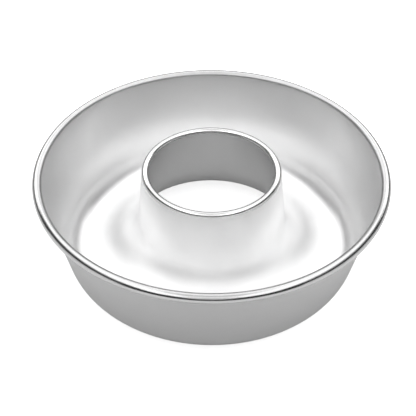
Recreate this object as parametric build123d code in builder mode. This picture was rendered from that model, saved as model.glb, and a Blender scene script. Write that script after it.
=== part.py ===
from build123d import *
import math
import os

# A smooth ring mould: a round baking pan with a plain channel and an open centre cone.
# One drawn sheet makes the outer wall, the channel floor and the cone. Its outer edge is rolled
# outwards over a wire, and the cone's top edge is rolled towards the axis over a thinner wire.
# Frame: +Z up along the axis of revolution, origin at the centre of the base, on the plane that
# the pan stands on. Lengths are in millimetres and angles in degrees.

# Sheet
sheet = 1.0                     # thickness of the drawn aluminium sheet

# Rolled rim
rim_radius = 120.0              # over the rolled rim
rim_curl_height = 69.3          # centre of the rolled rim above the base
rim_wire_diameter = 4.4

# Rolled edge of the centre cone
cone_curl_radius = 44.9         # from the axis to the centre of the cone's rolled edge
cone_curl_height = 68.6         # centre of the cone's rolled edge above the base
cone_wire_diameter = 2.9

# Outer wall and cone
wall_lean = 11.5                # outer wall from vertical, widening upwards
cone_lean = 6.0                 # cone from vertical, narrowing upwards
wall_fillet = 18.0              # bend between the outer wall and the base, on the outside
cone_fillet = 34.0              # bend between the cone and the base, on the underside

# Rolled edges and wires
wire_clearance = 0.05           # between a wire and the sheet around it
edge_gap = 0.1                  # between the sheet's cut edge and the wall it is rolled against
wire_end_gap = 0.5              # between the two ends of a wire ring

# Radii of the rolled edges, on the wire's side and on the outside
rim_curl_inside = rim_wire_diameter / 2 + wire_clearance
rim_curl_outside = rim_curl_inside + sheet
cone_curl_inside = cone_wire_diameter / 2 + wire_clearance
cone_curl_outside = cone_curl_inside + sheet

# Centres of the rolled edges, as (radius, height)
rim_curl_centre = (rim_radius - rim_curl_outside, rim_curl_height)
cone_curl_centre = (cone_curl_radius, cone_curl_height)


def bend_offset(curl_height, curl_inside, lean, bend):
    """Radial distance from a rolled edge's centre to the centre of the bend at the foot of its wall."""
    rise = curl_height - bend
    return (curl_inside + bend + math.sin(math.radians(lean)) * rise) / math.cos(math.radians(lean))


def curl_sweep(curl_inside, curl_outside):
    """Angle that the sheet turns round its wire before its cut edge meets the wall again."""
    return 360 - math.degrees(math.acos((curl_inside - edge_gap) / curl_outside))


# Centres of the bends at the foot of the wall and the cone, as (radius, height)
wall_bend_inset = bend_offset(rim_curl_height, rim_curl_inside, wall_lean, wall_fillet)
wall_bend_centre = (rim_curl_centre[0] - wall_bend_inset, wall_fillet)
cone_bend_outset = bend_offset(cone_curl_height, cone_curl_inside, cone_lean, cone_fillet)
cone_bend_centre = (cone_curl_centre[0] + cone_bend_outset, cone_fillet)


def sheet_face(depth):
    """Draws the section of the sheet's face that lies depth below its batter side.

    Returns the face's two ends: on the cone's rolled edge and on the rim.
    """
    cone_curl = CenterArc(
        cone_curl_centre,
        cone_curl_outside - depth,
        cone_lean,
        curl_sweep(cone_curl_inside, cone_curl_outside),
    )
    cone_bend = CenterArc(
        cone_bend_centre, cone_fillet - sheet + depth, 180 + cone_lean, 90 - cone_lean
    )
    wall_bend = CenterArc(wall_bend_centre, wall_fillet - sheet + depth, -90, 90 - wall_lean)
    rim_curl = CenterArc(
        rim_curl_centre,
        rim_curl_outside - depth,
        180 - wall_lean,
        -curl_sweep(rim_curl_inside, rim_curl_outside),
    )
    Line(cone_curl @ 0, cone_bend @ 0)
    Line(cone_bend @ 1, wall_bend @ 0)
    Line(wall_bend @ 1, rim_curl @ 0)
    return cone_curl @ 1, rim_curl @ 1


def make_wire(centre, diameter):
    """A round wire bent into a ring, with a small gap where its two ends meet."""
    turn = 360 - math.degrees(wire_end_gap / centre[0])
    with BuildPart() as wire:
        with BuildSketch(Plane.XZ):
            with Locations(centre):
                Circle(diameter / 2)
        revolve(axis=Axis.Z, revolution_arc=turn)
    return wire


# The pan's one sheet: rolled rim, outer wall, channel floor, cone and the cone's rolled edge
with BuildPart() as pan_shell:
    with BuildSketch(Plane.XZ):
        with BuildLine():
            batter_side = sheet_face(0)
            outer_side = sheet_face(sheet)
            cone_cut_edge = Line(batter_side[0], outer_side[0])
            rim_cut_edge = Line(batter_side[1], outer_side[1])
        make_face()
    revolve(axis=Axis.Z)

# Wires inside the two rolled edges
rim_wire = make_wire(rim_curl_centre, rim_wire_diameter)
cone_wire = make_wire(cone_curl_centre, cone_wire_diameter)

pan_shell.part.label = "pan_shell"
rim_wire.part.label = "rim_wire"
cone_wire.part.label = "cone_wire"

os.makedirs("parts", exist_ok=True)
export_step(pan_shell.part, "parts/pan_shell.step")
export_step(rim_wire.part, "parts/rim_wire.step")
export_step(cone_wire.part, "parts/cone_wire.step")
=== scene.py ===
import math

import bmesh
import bpy
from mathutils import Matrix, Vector, noise


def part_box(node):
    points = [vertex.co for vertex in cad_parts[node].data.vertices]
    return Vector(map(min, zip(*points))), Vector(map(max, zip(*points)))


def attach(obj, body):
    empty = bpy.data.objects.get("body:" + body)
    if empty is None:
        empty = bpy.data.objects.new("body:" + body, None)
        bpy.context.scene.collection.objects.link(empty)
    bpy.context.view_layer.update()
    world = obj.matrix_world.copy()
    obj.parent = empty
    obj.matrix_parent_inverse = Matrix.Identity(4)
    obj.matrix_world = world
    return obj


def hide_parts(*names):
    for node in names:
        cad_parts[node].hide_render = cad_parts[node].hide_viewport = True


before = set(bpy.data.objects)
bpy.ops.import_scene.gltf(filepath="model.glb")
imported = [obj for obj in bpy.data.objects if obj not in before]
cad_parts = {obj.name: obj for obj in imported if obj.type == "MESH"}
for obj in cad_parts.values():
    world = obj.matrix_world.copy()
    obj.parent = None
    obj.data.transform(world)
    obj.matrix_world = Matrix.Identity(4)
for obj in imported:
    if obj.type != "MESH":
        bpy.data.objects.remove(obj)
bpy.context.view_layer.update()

MM = 0.001


# ---------------------------------------------------------------- sizes, read from the frame

SHEET = 1.0 * MM
WALL_LEAN = math.radians(11.5)
CONE_LEAN = math.radians(6.0)
WALL_BEND = 18.0 * MM
CONE_BEND = 34.0 * MM
EDGE_GAP = 0.1 * MM

shell_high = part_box("pan_shell")[1]
rim_wire_low, rim_wire_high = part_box("rim_wire")
cone_wire_low, cone_wire_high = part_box("cone_wire")

rim_wire_radius = (rim_wire_high.z - rim_wire_low.z) / 2
cone_wire_radius = (cone_wire_high.z - cone_wire_low.z) / 2
rim_curl_height = (rim_wire_high.z + rim_wire_low.z) / 2
cone_curl_height = (cone_wire_high.z + cone_wire_low.z) / 2
rim_curl_outside = shell_high.z - rim_curl_height
cone_curl_outside = cone_wire_radius + (rim_curl_outside - rim_wire_radius)
rim_curl_centre = (shell_high.x - rim_curl_outside, rim_curl_height)
cone_curl_centre = (cone_wire_high.x - cone_wire_radius, cone_curl_height)


# ---------------------------------------------------------------- the sheet's section

CONE_BEND_STEPS = 24
WALL_BEND_STEPS = 20
CONE_STEPS = 8
BASE_STEPS = 2
WALL_STEPS = 12


def bend_offset(curl_height, curl_inside, lean, bend):
    """Radial distance from a rolled edge's centre to the centre of the bend at its wall's foot."""
    return (curl_inside + bend + math.sin(lean) * (curl_height - bend)) / math.cos(lean)


def arc(centre, radius, start, sweep, steps):
    """Points of an arc in the section, as (radius from the axis, height)."""
    points = []
    for i in range(steps + 1):
        turn = start + sweep * i / steps
        points.append((centre[0] + radius * math.cos(turn), centre[1] + radius * math.sin(turn)))
    return points


def run(start, end, steps):
    """Points between two ends of a straight stretch, without the ends themselves."""
    return [
        (start[0] + (end[0] - start[0]) * i / steps, start[1] + (end[1] - start[1]) * i / steps)
        for i in range(1, steps)
    ]


def sheet_face(depth, curl_steps, cone_gap, rim_gap):
    """The face of the sheet that lies depth below its batter side, from the cone's edge to the rim.

    The two gaps are between the sheet's cut edges and the walls that they are rolled against.
    """
    rim_inside = rim_curl_outside - SHEET
    cone_inside = cone_curl_outside - SHEET
    wall_centre = (
        rim_curl_centre[0] - bend_offset(rim_curl_height, rim_inside, WALL_LEAN, WALL_BEND),
        WALL_BEND,
    )
    cone_centre = (
        cone_curl_centre[0] + bend_offset(cone_curl_height, cone_inside, CONE_LEAN, CONE_BEND),
        CONE_BEND,
    )
    rim_sweep = math.tau - math.acos((rim_inside - rim_gap) / rim_curl_outside)
    cone_sweep = math.tau - math.acos((cone_inside - cone_gap) / cone_curl_outside)
    cone_curl = arc(
        cone_curl_centre, cone_curl_outside - depth, CONE_LEAN + cone_sweep, -cone_sweep, curl_steps
    )
    cone_bend = arc(
        cone_centre,
        CONE_BEND - SHEET + depth,
        math.pi + CONE_LEAN,
        math.pi / 2 - CONE_LEAN,
        CONE_BEND_STEPS,
    )
    wall_bend = arc(
        wall_centre,
        WALL_BEND - SHEET + depth,
        -math.pi / 2,
        math.pi / 2 - WALL_LEAN,
        WALL_BEND_STEPS,
    )
    rim_curl = arc(
        rim_curl_centre, rim_curl_outside - depth, math.pi - WALL_LEAN, -rim_sweep, curl_steps
    )
    return (
        cone_curl
        + run(cone_curl[-1], cone_bend[0], CONE_STEPS)
        + cone_bend
        + run(cone_bend[-1], wall_bend[0], BASE_STEPS)
        + wall_bend
        + run(wall_bend[-1], rim_curl[0], WALL_STEPS)
        + rim_curl
    )


# ---------------------------------------------------------------- mesh

TURN_STEPS = 360
CURL_STEPS_OUTSIDE = 44
CURL_STEPS_INSIDE = 18
CONE_EDGE_WAVER = 0.45 * MM
RIM_EDGE_WAVER = 0.35 * MM
CONE_EDGE_SEED = 3
RIM_EDGE_SEED = 5
SHARP_FROM = math.radians(50)


def waver(angle, seed, depth):
    """How far a hand-trimmed edge stands off at one place round the pan, from 0 to depth."""
    place = Vector((2.2 * math.cos(angle), 2.2 * math.sin(angle), seed))
    fine = Vector((7 * math.cos(angle), 7 * math.sin(angle), seed + 9))
    value = 0.5 + 0.55 * noise.noise(place) + 0.25 * noise.noise(fine)
    return depth * min(max(value, 0), 1) ** 2


def sheet_outline(angle):
    """The sheet's closed section at one place round the pan."""
    cone_gap = EDGE_GAP + waver(angle, CONE_EDGE_SEED, CONE_EDGE_WAVER)
    rim_gap = EDGE_GAP + waver(angle, RIM_EDGE_SEED, RIM_EDGE_WAVER)
    batter_side = sheet_face(0, CURL_STEPS_OUTSIDE, cone_gap, rim_gap)
    outer_side = sheet_face(SHEET, CURL_STEPS_INSIDE, cone_gap, rim_gap)
    return batter_side + outer_side[::-1]


def lathe(name, outline_at):
    """A closed section turned round the Z axis, the section worked out anew at each step."""
    mesh = bpy.data.meshes.new(name)
    bm = bmesh.new()
    rings = []
    for k in range(TURN_STEPS):
        angle = math.tau * k / TURN_STEPS
        c, s = math.cos(angle), math.sin(angle)
        rings.append([bm.verts.new((r * c, r * s, z)) for r, z in outline_at(angle)])
    count = len(rings[0])
    for k in range(TURN_STEPS):
        near, far = rings[k], rings[(k + 1) % TURN_STEPS]
        for i in range(count):
            j = (i + 1) % count
            bm.faces.new((near[i], near[j], far[j], far[i]))
    bmesh.ops.recalc_face_normals(bm, faces=bm.faces)
    for face in bm.faces:
        face.smooth = True
    bm.to_mesh(mesh)
    bm.free()
    mesh.set_sharp_from_angle(angle=SHARP_FROM)
    piece = bpy.data.objects.new(name, mesh)
    bpy.context.scene.collection.objects.link(piece)
    return piece


pan = lathe("pan_sheet", sheet_outline)


# ---------------------------------------------------------------- materials

class Graph:
    """A new material, with short calls for the nodes that the materials use."""

    def __init__(self, name):
        self.material = bpy.data.materials.new(name)
        self.material.use_nodes = True
        self.nodes = self.material.node_tree.nodes
        self.links = self.material.node_tree.links
        self.shader = self.nodes["Principled BSDF"]
        self.place = self.nodes.new("ShaderNodeTexCoord").outputs["Object"]

    def join(self, value, socket):
        if isinstance(value, bpy.types.NodeSocket):
            self.links.new(value, socket)
        else:
            socket.default_value = value

    def math(self, operation, first, second=0.0):
        node = self.nodes.new("ShaderNodeMath")
        node.operation = operation
        self.join(first, node.inputs[0])
        self.join(second, node.inputs[1])
        return node.outputs[0]

    def spread(self, value, low, high, to_low, to_high):
        node = self.nodes.new("ShaderNodeMapRange")
        node.interpolation_type = "SMOOTHSTEP"
        self.join(value, node.inputs["Value"])
        node.inputs["From Min"].default_value = low
        node.inputs["From Max"].default_value = high
        node.inputs["To Min"].default_value = to_low
        node.inputs["To Max"].default_value = to_high
        return node.outputs["Result"]

    def noise(self, place, scale, detail, roughness=0.5):
        node = self.nodes.new("ShaderNodeTexNoise")
        self.links.new(place, node.inputs["Vector"])
        node.inputs["Scale"].default_value = scale
        node.inputs["Detail"].default_value = detail
        node.inputs["Roughness"].default_value = roughness
        return node.outputs["Fac"]

    def cylinder(self):
        """Each place's distance from the axis, its direction (two parts) and its height."""
        split = self.nodes.new("ShaderNodeSeparateXYZ")
        self.links.new(self.place, split.inputs[0])
        x, y, z = split.outputs
        squares = self.math("ADD", self.math("MULTIPLY", x, x), self.math("MULTIPLY", y, y))
        radius = self.math("SQRT", squares)
        return radius, self.math("DIVIDE", x, radius), self.math("DIVIDE", y, radius), z

    def turned(self, radius, along_x, along_y, height, fineness, spin):
        """Coordinates for marks that run round the axis: fine across them, slow along them."""
        joined = self.nodes.new("ShaderNodeCombineXYZ")
        outwards = self.math("MULTIPLY", radius, fineness)
        up = self.math("MULTIPLY", height, fineness)
        self.join(self.math("ADD", outwards, up), joined.inputs["X"])
        self.join(self.math("MULTIPLY", along_x, spin), joined.inputs["Y"])
        self.join(self.math("MULTIPLY", along_y, spin), joined.inputs["Z"])
        return joined.outputs[0]

    def bump(self, height, distance, strength, below=None):
        node = self.nodes.new("ShaderNodeBump")
        node.inputs["Distance"].default_value = distance
        node.inputs["Strength"].default_value = strength
        self.links.new(height, node.inputs["Height"])
        if below is not None:
            self.links.new(below, node.inputs["Normal"])
        return node.outputs["Normal"]

    def mix(self, amount, first, second):
        node = self.nodes.new("ShaderNodeMix")
        node.data_type = "RGBA"
        self.join(amount, node.inputs["Factor"])
        for value, socket in ((first, node.inputs[6]), (second, node.inputs[7])):
            self.join((*value, 1) if isinstance(value, tuple) else value, socket)
        return node.outputs[2]


MARK_DEPTH = 0.01 * MM
WIRE_MARK_DEPTH = 0.02 * MM
RUBBED_FROM, RUBBED_TO = 66 * MM, 70.5 * MM
# Heights over which painted shade darkens the top of the rolled edges.
SHADED_CREST_FROM, SHADED_CREST_TO = 70.2 * MM, 71.6 * MM
RIM_OUTER_HALF = (114.5 * MM, 117.5 * MM)
CONE_EDGE = (50 * MM, 60 * MM)


def satin_aluminium():
    """Etched and anodised sheet: fine grain, faint turned marks, and painted shade that darkens the
    top of the rolled edges to dim its highlight.

    The rim's outer half and the cone's rolled edge are rubbed smoother than the rest.
    """
    g = Graph("satin_aluminium")
    radius, along_x, along_y, height = g.cylinder()
    marks = g.noise(g.turned(radius, along_x, along_y, height, 900, 1.2), 1.0, 3, 0.6)
    grain = g.noise(g.place, 2600, 2, 0.6)
    cloud = g.noise(g.place, 28, 4, 0.55)
    blotch = g.noise(g.place, 110, 3, 0.6)
    edges = g.math(
        "ADD", g.spread(radius, *RIM_OUTER_HALF, 0, 1), g.spread(radius, *CONE_EDGE, 1, 0)
    )
    rubbed = g.math("MULTIPLY", g.spread(height, RUBBED_FROM, RUBBED_TO, 0, 1), edges)
    # Painted shade: the top of the rolled edges is darkened in patches, so its highlight reads
    # light grey instead of white.
    painted_top_shade = g.math(
        "MULTIPLY",
        g.spread(height, SHADED_CREST_FROM, SHADED_CREST_TO, 0, 1),
        g.spread(blotch, 0.2, 0.7, 0.8, 1),
    )

    g.shader.inputs["Metallic"].default_value = 1.0
    tone = g.math("MULTIPLY", g.spread(cloud, 0.3, 0.7, 0, 0.6), g.spread(blotch, 0.3, 0.7, 0.6, 1))
    tone = g.math("ADD", tone, g.spread(grain, 0.3, 0.7, -0.25, 0.25))
    metal = g.mix(tone, (0.94, 0.94, 0.94), (0.915, 0.915, 0.917))
    # The base colour goes to a darker grey where the painted shade on the top of the rolled edges
    # lies.
    g.links.new(g.mix(painted_top_shade, metal, (0.62, 0.62, 0.622)), g.shader.inputs["Base Color"])

    matt = g.spread(cloud, 0.3, 0.7, 0.32, 0.36)
    matt = g.math("ADD", matt, g.spread(marks, 0.3, 0.7, -0.01, 0.01))
    matt = g.math("ADD", matt, g.spread(grain, 0.3, 0.7, -0.015, 0.015))
    matt = g.math("SUBTRACT", matt, g.math("MULTIPLY", rubbed, 0.15))
    g.links.new(matt, g.shader.inputs["Roughness"])
    normal = g.bump(marks, MARK_DEPTH, 0.15)
    normal = g.bump(grain, MARK_DEPTH, 0.45, normal)
    g.links.new(normal, g.shader.inputs["Normal"])
    return g.material


def drawn_wire():
    """Galvanised steel wire with the dull spangle of its zinc and fine drawing marks."""
    g = Graph("drawn_wire")
    lines = g.noise(g.turned(*g.cylinder(), 2200, 3), 1.0, 3, 0.6)
    spangle = g.noise(g.place, 420, 3, 0.6)
    g.shader.inputs["Metallic"].default_value = 1.0
    g.links.new(
        g.mix(g.spread(spangle, 0.35, 0.65, 0, 1), (0.62, 0.63, 0.64), (0.48, 0.49, 0.50)),
        g.shader.inputs["Base Color"],
    )
    g.links.new(g.spread(lines, 0.3, 0.7, 0.32, 0.46), g.shader.inputs["Roughness"])
    g.links.new(g.bump(lines, WIRE_MARK_DEPTH, 0.4), g.shader.inputs["Normal"])
    return g.material


pan.data.materials.append(satin_aluminium())
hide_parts("pan_shell")
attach(pan, "root")

wire_metal = drawn_wire()
for node in ("rim_wire", "cone_wire"):
    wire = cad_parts[node]
    wire.data.materials.clear()
    wire.data.materials.append(wire_metal)


# ---------------------------------------------------------------- floor, world and lights

TABLE_RADIUS = 6.0
TABLE_STEPS = 96
SEEN_ALBEDO = 0.85
SEEN_GLOW_NEAR, SEEN_GLOW_FAR = 0.76, 1.0
GLOW_FROM, GLOW_TO = 0.25, 1.2
MIRRORED_ALBEDO = 0.72
MIRRORED_HEIGHT = -0.2 * MM
ROOM_LIGHT = 0.05
PANEL_HEIGHT = 1.0
CARD_DISTANCE = 3.2
CARD_WIDTH = 3.4
CARD_HEIGHT = 0.8


def disc(name, height, albedo):
    """A round matt board, lying flat, and the graph of its material."""
    mesh = bpy.data.meshes.new(name)
    turns = [math.tau * k / TABLE_STEPS for k in range(TABLE_STEPS)]
    ring = [(TABLE_RADIUS * math.cos(t), TABLE_RADIUS * math.sin(t), height) for t in turns]
    mesh.from_pydata(ring, [], [list(range(TABLE_STEPS))])
    board = bpy.data.objects.new(name, mesh)
    bpy.context.scene.collection.objects.link(board)
    g = Graph(name)
    g.shader.inputs["Base Color"].default_value = (albedo, albedo, albedo, 1)
    g.shader.inputs["Roughness"].default_value = 1.0
    g.shader.inputs["Specular IOR Level"].default_value = 0.0
    mesh.materials.append(g.material)
    return board, g


def show_to_camera_only(piece):
    piece.visible_glossy = False
    piece.visible_diffuse = False
    piece.visible_shadow = False


def add_floor():
    """A white table top to look at, and a greyer one just under it that only the metal mirrors."""
    seen, g = disc("table_seen", 0.0, SEEN_ALBEDO)
    show_to_camera_only(seen)
    radius = g.cylinder()[0]
    glow = g.spread(radius, GLOW_FROM, GLOW_TO, SEEN_GLOW_NEAR, SEEN_GLOW_FAR)
    g.shader.inputs["Emission Color"].default_value = (1, 1, 1, 1)
    g.links.new(glow, g.shader.inputs["Emission Strength"])
    mirrored = disc("table_mirrored", MIRRORED_HEIGHT, MIRRORED_ALBEDO)[0]
    mirrored.visible_camera = False


def add_backdrop():
    """A white dome to look at, and a dim room outside it for the metal to mirror."""
    mesh = bpy.data.meshes.new("backdrop")
    bm = bmesh.new()
    bmesh.ops.create_uvsphere(bm, u_segments=48, v_segments=24, radius=TABLE_RADIUS)
    bm.to_mesh(mesh)
    bm.free()
    dome = bpy.data.objects.new("backdrop", mesh)
    bpy.context.scene.collection.objects.link(dome)
    g = Graph("backdrop")
    g.shader.inputs["Base Color"].default_value = (0, 0, 0, 1)
    g.shader.inputs["Specular IOR Level"].default_value = 0.0
    g.shader.inputs["Emission Color"].default_value = (1, 1, 1, 1)
    g.shader.inputs["Emission Strength"].default_value = 1.0
    mesh.materials.append(g.material)
    show_to_camera_only(dome)

    world = bpy.data.worlds.new("room")
    bpy.context.scene.world = world
    world.use_nodes = True
    room = world.node_tree.nodes["Background"]
    room.inputs["Color"].default_value = (1, 1, 1, 1)
    room.inputs["Strength"].default_value = ROOM_LIGHT


def add_panel(name, place, turn, width, height, radiance):
    """A flat softbox of even brightness. It faces down before its turn."""
    light = bpy.data.lights.new(name, "AREA")
    light.shape = "RECTANGLE"
    light.size = width
    light.size_y = height
    light.energy = radiance * math.pi * width * height
    lamp = bpy.data.objects.new(name, light)
    lamp.location = place
    lamp.rotation_euler = turn
    lamp.visible_camera = False
    bpy.context.scene.collection.objects.link(lamp)


def add_ceiling_panel(name, x_range, y_range, radiance):
    middle = (sum(x_range) / 2, sum(y_range) / 2, PANEL_HEIGHT)
    add_panel(
        name, middle, (0, 0, 0), x_range[1] - x_range[0], y_range[1] - y_range[0], radiance
    )


def add_lights():
    """Two softboxes over the pan with a dimmer strip between them, two behind, and side cards.

    The smooth rim shows the strip as a fine grey line.
    """
    for name, half_width, y_range, radiance in (
        ("strip_front", 0.35, (-2.0, -1.1), 0.62),
        ("strip_near", 0.2, (-1.1, -0.7), 0.73),
        ("strip_low", 0.2, (-0.7, -0.25), 1.04),
        ("strip_gap", 0.2, (-0.25, 0.25), 0.7),
        ("strip_high", 0.2, (0.25, 0.9), 1.3),
        ("strip_behind", 0.3, (0.9, 1.5), 1.3),
        ("strip_far", 0.3, (1.5, 3.2), 0.42),
    ):
        add_ceiling_panel(name, (-half_width, half_width), y_range, radiance)
    for side_name, side in (("left", -1), ("right", 1)):
        for name, x_range, y_range, radiance in (
            ("overhead", (0.2, 0.75), (-1.1, 0.9), 1.56),
            ("beside", (0.75, 1.1), (-0.75, 0.9), 0.52),
            ("behind", (0.3, 1.7), (0.9, 2.1), 1.82),
            ("far", (0.3, 1.7), (2.1, 3.0), 0.78),
        ):
            add_ceiling_panel(
                f"{name}_{side_name}", sorted(side * x for x in x_range), y_range, radiance
            )
        for name, middle, radiance in (("card_front", -1.0, 0.6), ("card_back", 2.6, 0.25)):
            place = (side * CARD_DISTANCE, middle, CARD_HEIGHT / 2)
            turn = (math.radians(90), 0, side * math.radians(90))
            add_panel(f"{name}_{side_name}", place, turn, CARD_WIDTH, CARD_HEIGHT, radiance)


add_floor()
add_backdrop()
add_lights()


# ---------------------------------------------------------------- camera

CAMERA_PLACE = (0, -0.46538, 0.45190)
CAMERA_DOWN = math.radians(41.852)
CAMERA_YAW = math.radians(0.2872)
CAMERA_ROLL = math.radians(0.1617)
FOCAL_LENGTH = 77.11


def add_camera():
    data = bpy.data.cameras.new("camera")
    data.sensor_width = 36.0
    data.lens = FOCAL_LENGTH
    camera = bpy.data.objects.new("camera", data)
    camera.location = CAMERA_PLACE
    camera.rotation_euler = (math.radians(90) - CAMERA_DOWN, 0, CAMERA_YAW)
    camera.rotation_euler.rotate_axis("Z", CAMERA_ROLL)
    bpy.context.scene.collection.objects.link(camera)
    bpy.context.scene.camera = camera


add_camera()
bpy.context.scene.view_settings.view_transform = "Standard"
